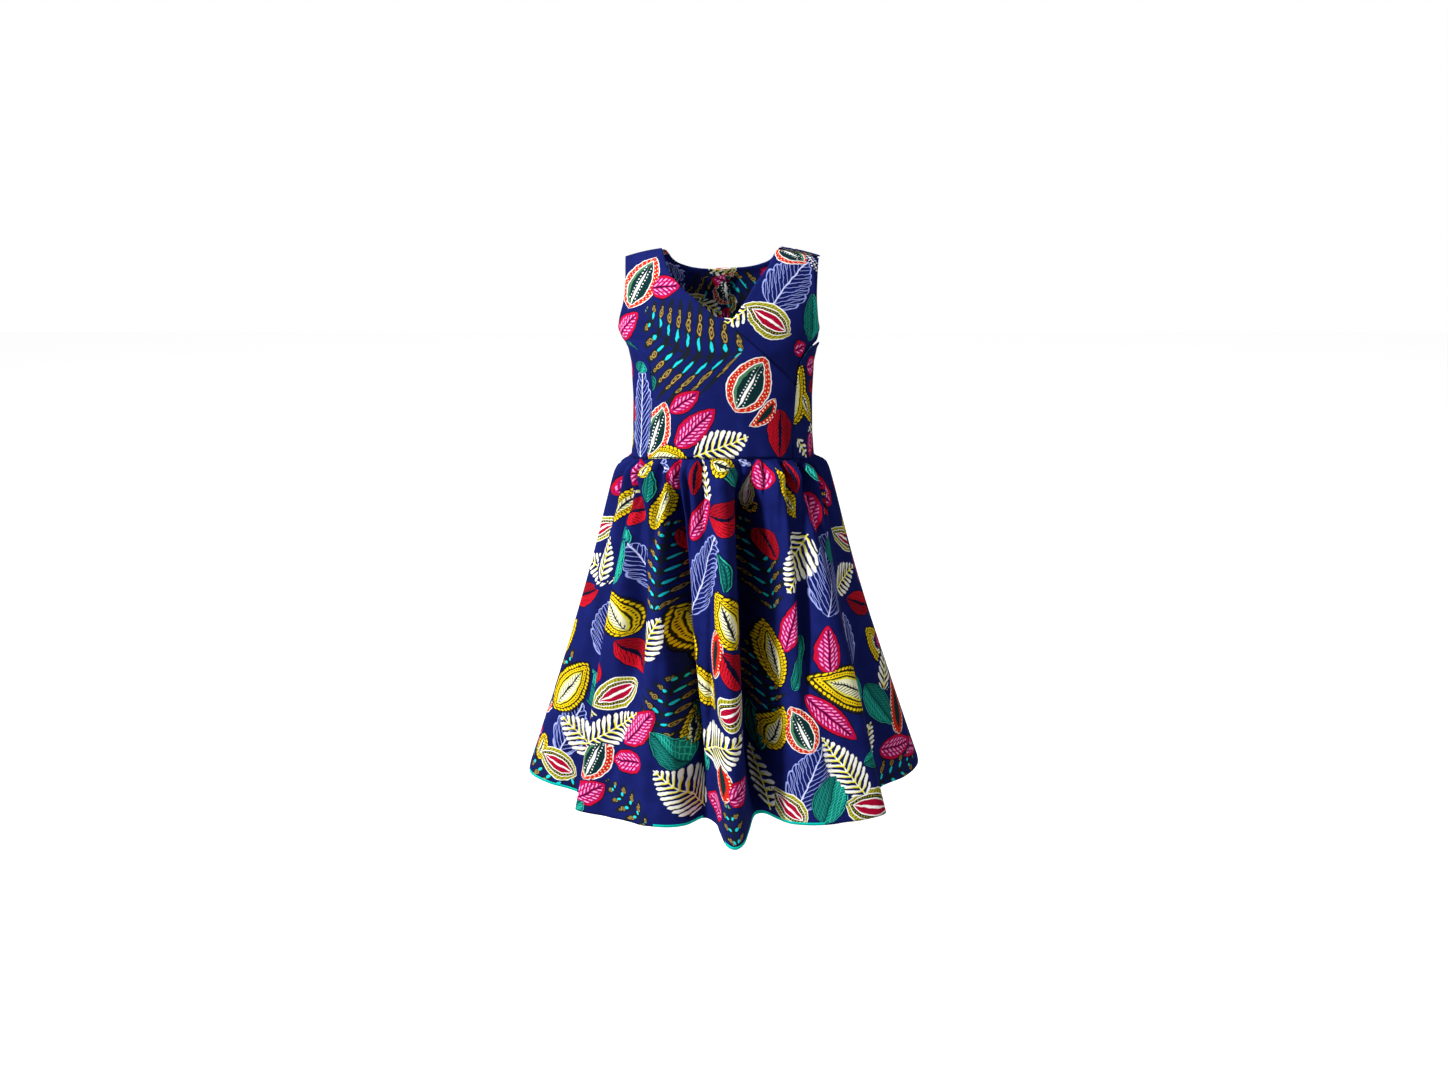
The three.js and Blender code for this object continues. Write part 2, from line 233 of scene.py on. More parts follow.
def skirt_form(hem_points, folds, behind):
    hem = spline(hem_points)
    kept = {}

    def column_of(u):
        """What one column of the skirt keeps all the way down: waist, hem, and hem without folds."""
        if u not in kept:
            turn = 1 + 2 * u if behind else 2 * u - 1
            span = min(FOLD_SPAN, u, 1 - u)
            flare = np.mean([hem(u + span * k / 4)[:2] for k in range(-4, 5)], axis=0)
            top = body(turn - 4 if turn > 2 else turn, BODICE)
            kept[u] = top, hem(u), flare, Vector((top.x / 1.3, top.y, 0)).normalized()
        return kept[u]

    def form(u, t):
        top, (hx, hy, hz), (fx, fy), out = column_of(u)
        folded, down = t ** 0.5, t * SKIRT
        x = mix(top.x, fx, t) + (hx - fx) * folded
        y = mix(top.y, fy, t ** 0.8) + (hy - fy) * folded
        puff = (2 + 7 * abs(out.y)) * smooth(0, 0.05, t) * (1 - smooth(0.25, 1, t))
        for count, phase, depth, fade in GATHERS + FINE_GATHERS:
            at = count * 2 * math.pi * u + phase + 0.9 * math.sin(5 * u + phase)
            wave = 2 * math.sqrt(math.sin(at / 2) ** 2 + 0.01) - 1.3       # full tops, sharp grooves
            puff += depth * wave * smooth(0, 11, down) * math.exp(-((down / fade) ** 2))
        for x0, x1, half, height, start, end in folds + FINE_FOLDS:
            away = (x - mix(x0, x1, t ** 1.5)) / half
            if abs(away) < 2.2 and t > start:
                puff += (height * math.exp(-abs(away) ** 3) * smooth(start, start + 0.16, t)
                         * (1 - smooth(end - 0.3, end, t)))
        fall = t * math.sqrt(SKIRT ** 2 - math.hypot(hx - top.x, hy - top.y) ** 2)
        return Vector((x + out.x * puff, y + out.y * puff, top.z - GAP / 2 - fall + hz * t * t))

    return form


# ---- one cloth piece ----------------------------------------------------------------------------
def cloth_piece(name, columns, rows, form, flat):
    """A flat grid laid on form(s, t), with its flat measure, in metres, in the map 'cloth'."""
    bm = bmesh.new()
    bmesh.ops.create_grid(bm, x_segments=columns, y_segments=rows, size=0.5)
    spots = [(v.co.x + 0.5, 0.5 - v.co.y) for v in bm.verts]
    layer = bm.loops.layers.uv.new("cloth")
    for face in bm.faces:
        for loop in face.loops:
            loop[layer].uv = flat(*spots[loop.vert.index])
    margin = bm.verts.layers.float.new("margin")        # distance in from the cut edge, in mm
    for vert, (s, t) in zip(bm.verts, spots):
        here = Vector(flat(s, t))
        vert[margin] = min((Vector(flat(*end)) - here).length
                           for end in ((0, t), (1, t), (s, 0), (s, 1))) / MM
    for vert, (s, t) in zip(bm.verts, spots):
        vert.co = form(min(1, max(0, s)), min(1, max(0, t))) * MM
    bmesh.ops.recalc_face_normals(bm, faces=bm.faces)
    outward = sum(f.normal.dot(Vector((f.calc_center_median().x, f.calc_center_median().y, 0)))
                  for f in bm.faces)
    if outward < 0:
        bmesh.ops.reverse_faces(bm, faces=bm.faces)
    for face in bm.faces:
        face.smooth = True
    mesh = bpy.data.meshes.new(name)
    bm.to_mesh(mesh)
    bm.free()
    piece = bpy.data.objects.new(name, mesh)
    bpy.context.scene.collection.objects.link(piece)
    return piece


# Soft drag lines in the bodice: from and to (turn, length down), half width and height in mm.
DRAGS = [(-0.86, 108, -0.45, 122, 5, 1.5), (-0.8, 122, -0.4, 140, 5, 1.1), (0.84, 104, 0.5, 118, 5, 1.5),
         (0.6, 30, 0.66, 96, 5, 1.3), (-0.62, 34, -0.66, 92, 5, 1.0), (0.1, 150, 0.74, 122, 7, 0.9),
         (-0.55, 258, -0.5, 214, 4, 1.1), (-0.22, 259, -0.2, 226, 4, 1.0), (0.12, 259, 0.1, 205, 5, 1.2),
         (0.42, 259, 0.4, 222, 4, 1.1), (0.7, 259, 0.69, 206, 5, 1.2), (-0.8, 259, -0.79, 222, 4, 0.9),
         (1.4, 104, 1.7, 128, 6, 1.3), (-1.4, 104, -1.72, 126, 6, 1.3), (1.6, 259, 1.6, 210, 5, 1.1),
         (-1.6, 259, -1.62, 214, 5, 1.1), (1.85, 130, 1.85, 190, 7, 0.9), (-1.85, 130, -1.84, 196, 7, 0.9)]


TURN_WIDTH = 160             # length round the body of one turn unit, about


def drag(turn, down):
    """Height of the drag lines here, in mm; each line fades towards both of its ends."""
    height, here = 0.0, np.array((turn * TURN_WIDTH, down))
    for turn0, down0, turn1, down1, half, high in DRAGS:
        start = np.array((turn0 * TURN_WIDTH, down0))
        way = np.array(((turn1 - turn0) * TURN_WIDTH, down1 - down0))
        part = float((here - start) @ way / (way @ way))
        if -0.1 < part < 1.1:
            off = np.linalg.norm(here - start - way * part) / half
            height += high * math.exp(-off * off) * math.sin(math.pi * min(1, max(0, part * 0.7 + 0.2)))
    pucker = math.sin(turn * 52 + 1.3 * math.sin(turn * 9)) * math.exp((down - BODICE) / 9)
    return height + 0.6 * pucker


def panel(name, columns, rows, left, right, dip=0.0, inner=0.0):
    def spot(s, t):
        p, q = left(t), right(t)
        sag = dip * math.sin(math.pi * s) ** 2 * (1 - t) ** 3
        width = (body(*p) - body(*q)).length
        under = TUCK if inner else 0            # an under panel's seams run on beneath the outer one
        beyond = under * smooth(*TUCK_SIDE, t) - GAP / 2
        f = mix(GAP / 2 / width, 1 + beyond / width, s)
        return mix(p[0], q[0], f), mix(p[1], q[1], f) + sag + under * smooth(*TUCK_WAIST, t)

    def form(s, t):
        at = spot(s, t)
        return body(*at) + body_normal(*at) * (inner + WALL / 2 + drag(*at))

    def flat(s, t):
        turn, down = spot(s, t)
        return flat_across(turn, down) * MM, -down * MM
    return cloth_piece(name, columns, rows, form, flat)


def skirt_panel(name, columns, rows, hem_points, folds, behind):
    form = skirt_form(hem_points, folds, behind)

    def flat(s, t):
        return (s - 0.5) * mix(SKIRT_TOP, SKIRT_HEM, t), -(BODICE + t * SKIRT) * MM
    return cloth_piece(name, columns, rows, form, flat)


def flat_area(piece):
    """Area of the piece in its flat measure, in square metres."""
    corner = np.empty(len(piece.data.loops) * 2)
    piece.data.uv_layers["cloth"].data.foreach_get("uv", corner)
    a, b, c, d = corner.reshape(-1, 4, 2).transpose(1, 0, 2)
    one, two = c - a, d - b
    return float(np.abs(one[:, 0] * two[:, 1] - one[:, 1] * two[:, 0]).sum() / 2)


fine = 1
n = lambda count: max(4, int(count * fine))
beneath = -WALL - UNDER
pieces = {
    "bodice_front_right": panel(
        "front_right_cloth", n(66), n(80),
        sides([from_seam(edge(ARM_R)), ARM_ROWS], [edge(SEAM_R), SEAM_ROWS]),
        sides([from_seam(edge(NECK_R + CROSS)), ARM_ROWS + CROSS_AT],
              [edge(SEAM_L), SEAM_ROWS - CROSS_AT, CROSS_AT / SEAM_ROWS])),
    "bodice_front_left": panel(
        "front_left_cloth", n(60), n(80),
        sides([from_seam(edge(NECK_L + CROSS_UNDER), TUCK), ARM_ROWS + SEAM_ROWS]),
        sides([from_seam(edge(ARM_L), TUCK), ARM_ROWS], [edge(SEAM_L), SEAM_ROWS]), inner=beneath),
    "bodice_side_right": panel(
        "side_right_cloth", n(40), n(44), sides([edge(SEAM_BACK, -1), SEAM_ROWS]),
        sides([edge(SEAM_R), SEAM_ROWS]), dip=9),
    "bodice_side_left": panel(
        "side_left_cloth", n(40), n(44), sides([edge(SEAM_L), SEAM_ROWS]),
        sides([edge(SEAM_BACK, 1), SEAM_ROWS]), dip=9),
    "bodice_back_left": panel("back_left_cloth", n(40), n(80), back_edge(1), lap_edge(1)),
    "bodice_back_right": panel(
        "back_right_cloth", n(40), n(80), lap_edge(-1), back_edge(-1), inner=beneath),
    "skirt_front": skirt_panel("skirt_front_cloth", n(250), n(130), HEM_FRONT, FOLDS_FRONT, False),
    "skirt_back": skirt_panel("skirt_back_cloth", n(210), n(110), HEM_BACK, FOLDS_BACK, True),
}


# ---- shader arithmetic --------------------------------------------------------------------------
def linear(r, g, b):
    """A dye colour given 0 to 255 as seen, made linear for the shader."""
    part = lambda c: c / 12.92 if c <= 0.04045 else ((c + 0.055) / 1.055) ** 2.4
    return (part(r / 255), part(g / 255), part(b / 255), 1.0)


class Ink:
    """A value or colour socket of one node tree, with arithmetic that adds Math nodes."""

    def __init__(self, tree, socket):
        self.tree, self.socket = tree, socket

    def math(self, operation, *others, clamp=False):
        node = self.tree.nodes.new("ShaderNodeMath")
        node.operation, node.use_clamp = operation, clamp
        for slot, item in zip(node.inputs, (self, *others)):
            if isinstance(item, Ink):
                self.tree.links.new(item.socket, slot)
            else:
                slot.default_value = item
        return Ink(self.tree, node.outputs[0])

    def __add__(self, other):
        return self.math("ADD", other)

    def __sub__(self, other):
        return self.math("SUBTRACT", other)

    def __mul__(self, other):
        return self.math("MULTIPLY", other)

    def __truediv__(self, other):
        return self.math("DIVIDE", other)

    def __abs__(self):
        return self.math("ABSOLUTE")

    def power(self, other):
        return self.math("POWER", other)

    def wrap(self, pitch):
        return self.math("FLOORED_MODULO", pitch)

    def either(self, other):
        return self.math("MAXIMUM", other)

    def over(self, edge, soft=0.35):
        """0 below the edge, 1 above it, with a soft step of this width."""
        return ((self - edge) * (1 / soft)).math("ADD", 0.5, clamp=True)

    def under(self, edge, soft=0.35):
        return ((self - edge) * (-1 / soft)).math("ADD", 0.5, clamp=True)

    def paint(self, below, above):
        """Colour: below where this mask is 0, above where it is 1."""
        node = self.tree.nodes.new("ShaderNodeMix")
        node.data_type = "RGBA"
        self.tree.links.new(self.socket, node.inputs["Factor"])
        for slot, colour in ((node.inputs[6], below), (node.inputs[7], above)):
            if isinstance(colour, Ink):
                self.tree.links.new(colour.socket, slot)
            else:
                slot.default_value = colour
        return Ink(self.tree, node.outputs[2])


def spot_row(along, across, pitch, level, size):
    """Mask of a row of dots: along the axis at this pitch, where across equals level."""
    x = along.wrap(pitch) - pitch / 2
    y = across - level
    return (x * x + y * y).under(size * size, soft=size * 0.9)


WHITE, IVORY = linear(250, 250, 246), linear(243, 240, 200)
YELLOW, LEMON = linear(246, 208, 16), linear(240, 228, 70)
CRIMSON, ROSE = linear(190, 8, 46), linear(196, 18, 100)
BLUSH, PLUM = linear(246, 164, 222), linear(66, 2, 50)
SCARLET, MADDER, OXBLOOD = linear(192, 16, 36), linear(150, 10, 30), linear(70, 2, 20)
ORANGE, FOREST, PINE = linear(206, 38, 20), linear(8, 44, 46), linear(74, 124, 88)
OLIVE, MOSS, BARK = linear(176, 170, 44), linear(64, 74, 26), linear(40, 36, 14)
TEAL, DEEP_TEAL, JADE = linear(8, 122, 112), linear(4, 60, 66), linear(54, 196, 172)
TURQUOISE, LAVENDER, MIST = linear(30, 208, 226), linear(160, 174, 244), linear(208, 214, 255)
GOLD, SOOT, BLACK = linear(170, 140, 66), linear(22, 29, 40), linear(6, 8, 22)


OUTLINED = ("yellow", "pink", "red", "teal")       # motifs drawn with a dark line round them
SWELL, LEAN = 0.72, 0.22     # how full a leaf's outline is, and how far towards its stem end


def motif(name, draw):
    """A node group that draws one kind of motif: Along and Across in mm from its middle, Long and
    Wide its size, Colour and Mask out. draw returns colour and mask from along, across, t, rim."""
    tree = bpy.data.node_groups.new(name, "ShaderNodeTree")
    for label in ("Along", "Across", "Long", "Wide"):
        tree.interface.new_socket(label, in_out="INPUT", socket_type="NodeSocketFloat")
    tree.interface.new_socket("Colour", in_out="OUTPUT", socket_type="NodeSocketColor")
    tree.interface.new_socket("Mask", in_out="OUTPUT", socket_type="NodeSocketFloat")
    source, sink = tree.nodes.new("NodeGroupInput"), tree.nodes.new("NodeGroupOutput")
    along, across, long, wide = (Ink(tree, source.outputs[k]) for k in range(4))
    t = along / (long * 0.5)
    swell = (t * t * -1 + 1).either(0.0).power(SWELL) * (t * -LEAN + 1)
    side = abs(across)
    rim = wide * 0.5 * swell - side
    colour, mask = draw(along, across, side, t, rim, wide)
    if name.split("_")[0] in OUTLINED:
        colour = mask.paint(BLACK, colour)
        mask = mask.either(rim.over(-1.1, 0.6) * abs(t).under(1.03, 0.02) * 0.85)
    tree.links.new(colour.socket, sink.inputs["Colour"])
    tree.links.new(mask.socket, sink.inputs["Mask"])
    return tree


def bands(depth, first, *steps, soft=0.35):
    """Colours nested inwards from the rim: (distance, colour) pairs."""
    colour = first
    for distance, inner in steps:
        colour = depth.over(distance, soft).paint(colour, inner)
    return colour


def spear(t, side, half, start=-0.62, end=0.5):
    """Mask of a slim pointed spear down the middle."""
    middle, reach = (start + end) / 2, (end - start) / 2
    u = (t - middle) / reach
    return ((u * u * -1 + 1).either(0.0) * half - side).over(0.0)


def draw_pod(along, across, side, t, rim, wide):
    depth = rim / (wide * 0.5)
    colour = bands(depth, WHITE, (0.06, ORANGE), (0.35, WHITE), (0.41, FOREST), soft=0.03)
    colour = spot_row(along, rim, 4.4, wide * 0.07, 0.65).paint(colour, IVORY)
    colour = spot_row(along + 2.2, rim, 4.4, wide * 0.135, 0.65).paint(colour, IVORY)
    crescent = abs(depth - 0.49).under(0.07, 0.03) * across.over(-1.0)
    colour = crescent.paint(colour, PINE)
    colour = (spot_row(along, side, 3.8, 3.7, 0.8) * depth.over(0.5, 0.05)).paint(colour, WHITE)
    colour = spear(t, side, 1.7, -0.9, 0.42).paint(colour, WHITE)
    return colour, rim.over(0.0)


def draw_olive(along, across, side, t, rim, wide):
    depth = rim / (wide * 0.5)
    colour = bands(depth, WHITE, (0.06, OLIVE), (0.29, WHITE), (0.35, BARK), (0.54, WHITE),
                   (0.61, CRIMSON), soft=0.03)
    dash = (along - across * 0.6).wrap(3.6).under(1.0, 0.5) * abs(depth - 0.2).under(0.08, 0.03)
    colour = dash.paint(colour, MOSS)
    colour = spot_row(along, rim, 2.8, wide * 0.22, 0.7).paint(colour, OLIVE)
    rib = (along + side * 1.1).wrap(3.4).under(1.0, 0.5) * depth.over(0.64, 0.03)
    colour = rib.paint(colour, PLUM)
    colour = spear(t, side, 1.5, -0.85, 0.6).paint(colour, WHITE)
    return colour, rim.over(0.0)


def draw_yellow(along, across, side, t, rim, wide):
    depth = rim / (wide * 0.5)
    colour = bands(depth, BARK, (0.3, YELLOW), (0.5, BARK), (0.58, LEMON), (0.66, IVORY), soft=0.03)
    colour = spot_row(along, rim, 4.4, wide * 0.08, 1.75).paint(colour, YELLOW)
    colour = spot_row(along, rim, 3.1, wide * 0.2, 0.9).paint(colour, BARK)
    colour = (abs(depth - 0.29).under(0.02, 0.02)).paint(colour, BARK)
    rib = (along - side * 1.1).wrap(4.4).under(1.25, 0.5) * depth.over(0.64, 0.05) * across.over(-3.0)
    colour = rib.either(spear(t, side, 1.1, -0.8, 0.7)).paint(colour, SOOT)
    bead = along.wrap(4.4) - 2.2
    return colour, (rim - bead * bead * 0.3).over(0.0)


def draw_pink(along, across, side, t, rim, wide):
    petal = (along - side * 1.1).wrap(5.4)
    colour = bands(rim, CRIMSON, (2.5, ROSE))
    stroke = abs(petal - 3.1).under(1.05, 0.7) * side.wrap(4.8).over(1.7, 0.8) * rim.over(3.4)
    colour = stroke.paint(colour, BLUSH)
    colour = (petal.under(0.75, 0.6) * rim.over(2.6)).paint(colour, PLUM)
    colour = (side.under(0.8) * abs(t).under(0.8, 0.1)).paint(colour, PLUM)
    return colour, rim.over(0.0)


def draw_red(along, across, side, t, rim, wide):
    vein = (along - side * 1.3).wrap(4.4).under(1.1, 0.7) * side.wrap(5.2).over(1.0) * rim.over(1.2)
    colour = across.over(0.0, 1.5).paint(SCARLET, MADDER)
    colour = vein.paint(colour, OXBLOOD)
    gap = (t * t * -1 + 1).either(0.0) * 1.5 + 0.3
    return colour, rim.over(0.0) * (side - gap).over(0.0)


def draw_teal(along, across, side, t, rim, wide):
    vein = (along - side * 1.2).wrap(4.2).under(0.9, 0.6).either(side.wrap(4.4).under(0.7, 0.5))
    colour = bands(rim, JADE, (0.9, DEEP_TEAL), (2.1, TEAL))
    colour = (vein * rim.over(2.0)).paint(colour, JADE)
    colour = (across.over(0.0, 1.0) * 0.55).paint(colour, DEEP_TEAL)
    colour = side.under(0.8, 0.6).paint(colour, DEEP_TEAL)
    return colour, rim.over(0.0)


def draw_palm(along, across, side, t, rim, wide):
    """White blades apart from each other on a thin midrib, tinted yellow towards the stem."""
    pitch = 7.6
    blade = (along - side * 0.8).wrap(pitch) - pitch / 2
    out = side / (rim + side + 0.01)
    half = out * 1.7 + 1.35
    end = rim - blade * blade * 0.34
    white = (half - abs(blade)).over(0.0, 0.5) * end.over(0.4, 0.6)
    shade = (half + 0.7 - abs(blade + 0.5)).over(0.0, 0.5) * end.over(-0.4, 0.6)
    tint = (out.under(0.42, 0.25) * blade.under(0.4, 1.2)).either((blade + half).under(0.9, 0.5) * 0.6)
    stem = side.under(0.8, 0.4) * abs(t).under(1.02, 0.02)
    colour = tint.paint(WHITE, LEMON)
    colour = white.either(stem).paint(BLACK, colour)
    return colour, white.either(stem).either(shade)


def draw_feather(along, across, side, t, rim, wide):
    """A leaf drawn only in pale lines: outline, midrib, and barbs that fork towards the rim."""
    barb = abs((along - side * 1.2).wrap(7.4) - 3.7).under(0.5, 0.5)
    fork = abs((along - side * 1.6 + 2.7).wrap(7.4) - 3.7).under(0.45, 0.5) * side.over(wide * 0.2, 0.5)
    lobe = (along - side * 1.2).wrap(14.0) - 7.0
    edge_in = rim - lobe * lobe * 0.05
    line = barb.either(fork).either(abs(edge_in - 0.8).under(0.65, 0.5))
    stem = side.under(0.8, 0.4)
    return stem.paint(LAVENDER, MIST), edge_in.over(0.0) * line.either(stem)


def draw_fern(along, across, side, t, rim, wide):
    """Dark pointed leaflets off a curved stem, each with a turquoise drop and gold loops."""
    pitch = 13.0
    offset = (along - side * 0.42).wrap(pitch) - pitch / 2
    out = side / (rim + side + 0.01)
    taper = (out.power(2.2) * -1 + 1).either(0.0).power(0.8)
    leaflet = (taper * (out * 3.6 + 3.2) - abs(offset)).over(0.0, 0.5) * rim.over(0.0)
    square = offset * offset
    drop = (square + (out - 0.22).power(2.0) * 260.0).under(3.0, 1.5)
    loops = abs(square + (out - 0.47).power(2.0) * 470.0 - 4.6).under(1.9, 1.2)
    inner = (square + (out - 0.47).power(2.0) * 600.0).under(0.7, 0.5)
    far = abs(square + (out - 0.65).power(2.0) * 900.0 - 1.6).under(0.9, 0.8)
    colour = (loops.either(inner).either(far) * leaflet).paint(SOOT, GOLD)
    colour = (drop * leaflet).paint(colour, TURQUOISE)
    stem = side.under(1.1, 0.5) * abs(t).under(1.0, 0.03)
    colour = side.under(1.1, 0.5).paint(colour, SOOT)
    return colour, leaflet.either(stem)


def draw_dots(along, across, side, t, rim, wide):
    dots = spot_row(along, side, 5.0, 0.0, 1.7).either(spot_row(along + 2.5, side, 5.0, 4.2, 1.1))
    return dots.paint(WHITE, WHITE), dots * rim.over(0.0)


def draw_sliver(along, across, side, t, rim, wide):
    """A slim orange pod with a white edge, seen from its side."""
    colour = bands(rim, WHITE, (0.9, ORANGE), (wide * 0.3, FOREST))
    colour = spot_row(along, rim, 4.2, 2.8, 0.9).paint(colour, IVORY)
    return colour, rim.over(0.0)


LEAVES = [("pod", draw_pod), ("olive", draw_olive), ("yellow", draw_yellow), ("pink", draw_pink),
          ("red", draw_red), ("teal", draw_teal), ("palm", draw_palm), ("dots", draw_dots),
          ("sliver", draw_sliver)]
FERNS = [("feather", draw_feather), ("fern", draw_fern)]
KIND = {name: k + 1 for k, (name, _) in enumerate(LEAVES + FERNS)}
GROUPS = {name: motif(name + "_motif", draw) for name, draw in LEAVES + FERNS}


def local_measure():
    """Node group: from the cloth map and a motif's place, its Along and Across in millimetres."""
    tree = bpy.data.node_groups.new("motif_place", "ShaderNodeTree")
    for label, kind in (("Cloth", "Vector"), ("Place", "Vector"), ("Sine", "Float"),
                        ("Size", "Vector"), ("Bend", "Float")):
        tree.interface.new_socket(label, in_out="INPUT", socket_type="NodeSocket" + kind)
    for label in ("Along", "Across", "Long", "Wide", "Kind"):
        tree.interface.new_socket(label, in_out="OUTPUT", socket_type="NodeSocketFloat")
    source, sink = tree.nodes.new("NodeGroupInput"), tree.nodes.new("NodeGroupOutput")

    def split(k):
        node = tree.nodes.new("ShaderNodeSeparateXYZ")
        tree.links.new(source.outputs[k], node.inputs[0])
        return [Ink(tree, s) for s in node.outputs]
    (u, v, _), (x, y, cosine), (kind, long, wide) = split(0), split(1), split(3)
    sine, bend = Ink(tree, source.outputs[2]), Ink(tree, source.outputs[4])
    du, dv = u - x, v - y
    along = du * cosine + dv * sine
    t = along / (long * 0.5)
    across = dv * cosine - du * sine - bend * (t * t * -1 + 1)
    for k, value in enumerate((along, across, long, wide, kind)):
        tree.links.new(value.socket, sink.inputs[k])
    return tree


PLACE_GROUP = local_measure()


def wax_print():
    """Royal navy cotton with the leaf and pod print; each face carries the motif drawn on it."""
    material = bpy.data.materials.new("wax_print")
    material.use_nodes = True
    tree = material.node_tree
    tree.nodes.clear()
    new, link = tree.nodes.new, tree.links.new
    cloth = new("ShaderNodeUVMap")
    cloth.uv_map = "cloth"
    to_mm = new("ShaderNodeVectorMath")
    to_mm.operation = "SCALE"
    to_mm.inputs["Scale"].default_value = 1000
    link(cloth.outputs[0], to_mm.inputs[0])
    # the hand-cut wobble of the outlines
    wobble = new("ShaderNodeTexNoise")
    wobble.inputs["Scale"].default_value = 0.11
    wobble.inputs["Detail"].default_value = 1.5
    link(to_mm.outputs[0], wobble.inputs["Vector"])
    centred = new("ShaderNodeVectorMath")
    centred.operation = "MULTIPLY_ADD"
    centred.inputs[1].default_value = (3.4, 3.4, 0)
    centred.inputs[2].default_value = (-1.7, -1.7, 0)
    link(wobble.outputs["Color"], centred.inputs[0])
    drawn = new("ShaderNodeVectorMath")
    link(to_mm.outputs[0], drawn.inputs[0])
    link(centred.outputs[0], drawn.inputs[1])

    # ground: royal navy, a little uneven where the wax took the dye
    dye = new("ShaderNodeTexNoise")
    dye.inputs["Scale"].default_value = 0.05
    dye.inputs["Detail"].default_value = 5
    link(to_mm.outputs[0], dye.inputs["Vector"])
    colour = Ink(tree, dye.outputs[0]).over(0.5, 0.7).paint(linear(12, 19, 76), linear(20, 31, 104))

    for layer, kinds in (("fern", FERNS), ("leaf", LEAVES)):
        where, size = new("ShaderNodeAttribute"), new("ShaderNodeAttribute")
        where.attribute_name, size.attribute_name = layer + "_at", layer + "_size"
        local = new("ShaderNodeGroup")
        local.node_tree = PLACE_GROUP
        link(drawn.outputs[0], local.inputs["Cloth"])
        link(where.outputs["Color"], local.inputs["Place"])
        link(where.outputs["Alpha"], local.inputs["Sine"])
        link(size.outputs["Color"], local.inputs["Size"])
        link(size.outputs["Alpha"], local.inputs["Bend"])
        kind = Ink(tree, local.outputs["Kind"])
        for name, _ in kinds:
            drawing = new("ShaderNodeGroup")
            drawing.node_tree = GROUPS[name]
            for label in ("Along", "Across", "Long", "Wide"):
                link(local.outputs[label], drawing.inputs[label])
            chosen = abs(kind - KIND[name]).under(0.5, 0.01)
            mask = chosen * Ink(tree, drawing.outputs["Mask"])
            colour = mask.paint(colour, Ink(tree, drawing.outputs["Colour"]))

    edge_mark = new("ShaderNodeAttribute")
    edge_mark.attribute_name = "selvedge"
    colour = Ink(tree, edge_mark.outputs["Fac"]).over(0.5).paint(colour, linear(0, 205, 190))

    # plain weave and the faint crackle of the wax finish
    weave = new("ShaderNodeTexWave")
    weave.wave_type, weave.bands_direction = "BANDS", "X"
    weave.inputs["Scale"].default_value = 0.55
    weave.inputs["Distortion"].default_value = 1.2
    link(to_mm.outputs[0], weave.inputs["Vector"])
    crumple = new("ShaderNodeTexNoise")
    crumple.inputs["Scale"].default_value = 0.035
    crumple.inputs["Detail"].default_value = 4
    link(to_mm.outputs[0], crumple.inputs["Vector"])
    margin = new("ShaderNodeAttribute")
    margin.attribute_name = "margin"
    inward = Ink(tree, margin.outputs["Fac"])
    turned_edge = inward.under(7.0, 1.2) * 0.5 - inward.under(1.4, 1.2) * 0.8
    height = Ink(tree, crumple.outputs[0]) * 3.0 + Ink(tree, weave.outputs["Fac"]) * 0.05 + turned_edge
    bump = new("ShaderNodeBump")
    bump.inputs["Strength"].default_value = 0.35
    bump.inputs["Distance"].default_value = 0.001
    link(height.socket, bump.inputs["Height"])

    shader, out = new("ShaderNodeBsdfPrincipled"), new("ShaderNodeOutputMaterial")
    shader.inputs["Roughness"].default_value = 0.78
    shader.inputs["Specular IOR Level"].default_value = 0.06
    link(colour.socket, shader.inputs["Base Color"])
    link(bump.outputs[0], shader.inputs["Normal"])
    link(shader.outputs[0], out.inputs[0])
    return material


